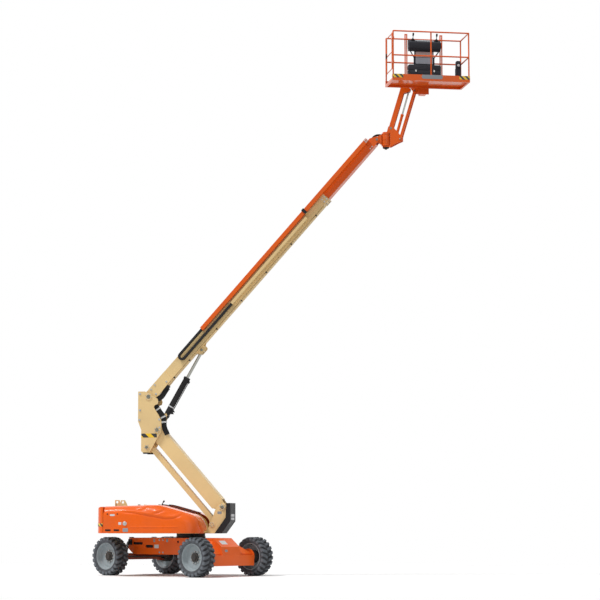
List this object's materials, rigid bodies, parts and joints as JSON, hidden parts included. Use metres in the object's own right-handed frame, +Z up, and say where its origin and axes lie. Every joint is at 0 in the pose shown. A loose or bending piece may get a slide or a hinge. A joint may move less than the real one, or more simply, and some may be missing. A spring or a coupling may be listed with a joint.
{
  "type": "articulating boom lift",
  "caption": "Self-propelled articulating boom lift: wheeled chassis, slewing turntable, raised parallelogram lower boom, telescoping main boom, swinging jib and railed work platform.",
  "frame": {"origin": "on the ground under the turntable's swing axis", "axes": "+X the way the boom points, +Y the turntable's left, +Z up"},
  "size_m": [9.2843, 3.9103, 12.7966],
  "materials": {
    "battery_case": "matte",
    "black_paint": "satin",
    "black_plastic": "matte",
    "cream_paint": "satin",
    "hose_rubber": "matte",
    "orange_paint": "gloss",
    "ring_steel": "matte",
    "rod_steel": "polished",
    "tyre": "matte",
    "wheel_grey": "satin"
  },
  "bodies": {
    "chassis": {"chassis_frame": "orange_paint", "fixed_axle": "orange_paint", "steer_axle": "orange_paint", "slew_ring": "ring_steel"},
    "tie_rod": {"tie_rod": "black_paint"},
    "knuckle_left": {"knuckle_left": "black_paint"},
    "knuckle_right": {"knuckle_right": "black_paint"},
    "wheel_drive_left": {"tyre_drive_left": "tyre", "rim_drive_left": "wheel_grey", "hub_drive_left": "black_paint"},
    "wheel_drive_right": {"tyre_drive_right": "tyre", "rim_drive_right": "wheel_grey", "hub_drive_right": "black_paint"},
    "wheel_steer_left": {"tyre_steer_left": "tyre", "rim_steer_left": "wheel_grey", "hub_steer_left": "black_paint"},
    "wheel_steer_right": {"tyre_steer_right": "tyre", "rim_steer_right": "wheel_grey", "hub_steer_right": "black_paint"},
    "turntable": {"turntable_frame": "cream_paint", "slew_race": "ring_steel", "counterweights": "orange_paint", "battery_packs": "battery_case", "front_guard": "black_paint", "side_walls": "cream_paint", "boom_tower": "cream_paint", "lifting_lugs": "cream_paint"},
    "hood_left": {"hood_left": "orange_paint"},
    "hood_right": {"hood_right": "orange_paint"},
    "lower_boom": {"lower_boom": "cream_paint"},
    "tension_link": {"tension_link": "cream_paint"},
    "upright": {"upright": "cream_paint", "hose_bundle": "hose_rubber"},
    "main_boom": {"main_boom": "cream_paint"},
    "lift_rod": {"lift_rod": "rod_steel"},
    "lift_barrel": {"lift_barrel": "black_paint"},
    "fly": {"fly_boom": "orange_paint", "push_tube": "orange_paint"},
    "power_track": {"power_track": "black_plastic"},
    "neck": {"jib_neck": "orange_paint"},
    "jib_yoke": {"jib_yoke": "orange_paint"},
    "jib_arm": {"jib_arm": "orange_paint"},
    "jib_link": {"jib_link": "orange_paint"},
    "jib_barrel": {"jib_barrel": "orange_paint"},
    "jib_rod": {"jib_rod": "rod_steel"},
    "platform_support": {"platform_support": "orange_paint"},
    "platform": {"platform_floor": "orange_paint", "guard_rails": "orange_paint", "console": "black_plastic"},
    "gate": {"gate": "orange_paint"}
  },
  "joints": [
    {"name": "drive_left_spin", "type": "hinge", "parent": "chassis", "child": "wheel_drive_left", "pos_m": [1.48044, 0.29419, 0.457], "axis": [0.5, 0.866, 0], "continuous": true},
    {"name": "drive_right_spin", "type": "hinge", "parent": "chassis", "child": "wheel_drive_right", "pos_m": [0.48544, -1.42919, 0.457], "axis": [0.5, 0.866, 0], "continuous": true},
    {"name": "steer_left", "type": "hinge", "parent": "chassis", "child": "knuckle_left", "pos_m": [-1.1144, 1.4898, 0.457], "axis": [0, 0, 1], "range_deg": [-33, 33]},
    {"name": "steer_right", "type": "hinge", "parent": "chassis", "child": "knuckle_right", "pos_m": [-1.8474, 0.2202, 0.457], "axis": [0, 0, 1], "range_deg": [-33, 33]},
    {"name": "tie_rod_shift", "type": "slide", "parent": "chassis", "child": "tie_rod", "axis": [0.5, 0.866, 0], "range_m": [-0.125, 0.125]},
    {"name": "steer_left_spin", "type": "hinge", "parent": "knuckle_left", "child": "wheel_steer_left", "pos_m": [-0.9834, 1.7167, 0.457], "axis": [0.5, 0.866, 0], "continuous": true},
    {"name": "steer_right_spin", "type": "hinge", "parent": "knuckle_right", "child": "wheel_steer_right", "pos_m": [-1.9784, -0.0067, 0.457], "axis": [0.5, 0.866, 0], "continuous": true},
    {"name": "swing", "type": "hinge", "parent": "chassis", "child": "turntable", "pos_m": [0, 0, 1], "axis": [0, 0, 1], "range_deg": [-180, 180]},
    {"name": "hood_left_lid", "type": "hinge", "parent": "turntable", "child": "hood_left", "pos_m": [-0.95, 0.288, 1.676], "axis": [1, 0, 0], "range_deg": [0, 55]},
    {"name": "hood_right_lid", "type": "hinge", "parent": "turntable", "child": "hood_right", "pos_m": [-0.95, -0.288, 1.676], "axis": [-1, 0, 0], "range_deg": [0, 55]},
    {"name": "lower_lift", "type": "hinge", "parent": "turntable", "child": "lower_boom", "pos_m": [0.816, 0, 1.623], "axis": [0, 1, 0], "range_deg": [-48.8, 21.2]},
    {"name": "link_turn", "type": "hinge", "parent": "turntable", "child": "tension_link", "pos_m": [0.561, 0, 1.21], "axis": [0, 1, 0], "range_deg": [-49.8, 22.2]},
    {"name": "upright_level", "type": "hinge", "parent": "lower_boom", "child": "upright", "pos_m": [-0.7912, 0, 3.45889], "axis": [0, 1, 0], "range_deg": [-22.2, 49.8]},
    {"name": "main_lift", "type": "hinge", "parent": "upright", "child": "main_boom", "pos_m": [-1.0102, 0, 4.25289], "axis": [0, -1, 0], "range_deg": [-52.9, 25.1]},
    {"name": "lift_rod_turn", "type": "hinge", "parent": "main_boom", "child": "lift_rod", "pos_m": [0.26451, 0, 5.36533], "axis": [0, -1, 0], "range_deg": [-5, 5]},
    {"name": "lift_barrel_slide", "type": "slide", "parent": "lift_rod", "child": "lift_barrel", "axis": [-0.4941, 0, -0.8694], "range_m": [-0.56, 0.3]},
    {"name": "telescope", "type": "slide", "parent": "main_boom", "child": "fly", "axis": [0.6704, 0, 0.742], "range_m": [-1.52, 3.08]},
    {"name": "track_shift", "type": "slide", "parent": "main_boom", "child": "power_track", "axis": [0.6704, 0, 0.742], "range_m": [-0.77, 1.55]},
    {"name": "neck_level", "type": "hinge", "parent": "fly", "child": "neck", "pos_m": [4.52703, 0, 10.32141], "axis": [0, -1, 0], "range_deg": [-26.1, 53.9]},
    {"name": "jib_swing", "type": "hinge", "parent": "neck", "child": "jib_yoke", "pos_m": [4.72703, 0, 10.32141], "axis": [0, 0, 1], "range_deg": [-90, 90]},
    {"name": "jib_lift", "type": "hinge", "parent": "jib_yoke", "child": "jib_arm", "pos_m": [4.85703, 0, 10.58641], "axis": [0, -1, 0], "range_deg": [-120, 2]},
    {"name": "jib_link_turn", "type": "hinge", "parent": "jib_yoke", "child": "jib_link", "pos_m": [5.08203, 0, 10.31641], "axis": [0, -1, 0], "range_deg": [-121, 3]},
    {"name": "jib_barrel_turn", "type": "hinge", "parent": "jib_yoke", "child": "jib_barrel", "pos_m": [4.96103, 0, 10.33741], "axis": [0, -1, 0], "range_deg": [-121, 3]},
    {"name": "jib_rod_slide", "type": "slide", "parent": "jib_barrel", "child": "jib_rod", "axis": [0.2747, 0, 0.9615], "range_m": [-0.48, 0.02]},
    {"name": "platform_level", "type": "hinge", "parent": "jib_arm", "child": "platform_support", "pos_m": [5.21022, 0, 11.74162], "axis": [0, -1, 0], "range_deg": [-3, 121]},
    {"name": "platform_turn", "type": "hinge", "parent": "platform_support", "child": "platform", "pos_m": [5.60222, 0, 11.50662], "axis": [0, 0, 1], "range_deg": [-20.1, 159.9]},
    {"name": "gate_swing", "type": "hinge", "parent": "platform", "child": "gate", "pos_m": [5.09677, -1.24844, 12.19662], "axis": [0, 0, -1], "range_deg": [0, 70]}
  ],
  "couplings": [
    {"joint": "steer_right", "follows": "steer_left", "ratio": 1},
    {"joint": "tie_rod_shift", "follows": "steer_left", "m_per_rad": 0.205},
    {"joint": "link_turn", "follows": "lower_lift", "ratio": 1},
    {"joint": "upright_level", "follows": "lower_lift", "ratio": -1},
    {"joint": "lift_rod_turn", "follows": "main_lift", "ratio": -0.02},
    {"joint": "lift_barrel_slide", "follows": "main_lift", "m_per_rad": 0.535},
    {"joint": "track_shift", "follows": "telescope", "ratio": 0.5},
    {"joint": "neck_level", "follows": "main_lift", "ratio": -1},
    {"joint": "jib_link_turn", "follows": "jib_lift", "ratio": 1},
    {"joint": "jib_barrel_turn", "follows": "jib_lift", "ratio": 0.99},
    {"joint": "jib_rod_slide", "follows": "jib_lift", "m_per_rad": 0.225},
    {"joint": "platform_level", "follows": "jib_lift", "ratio": -1}
  ]
}
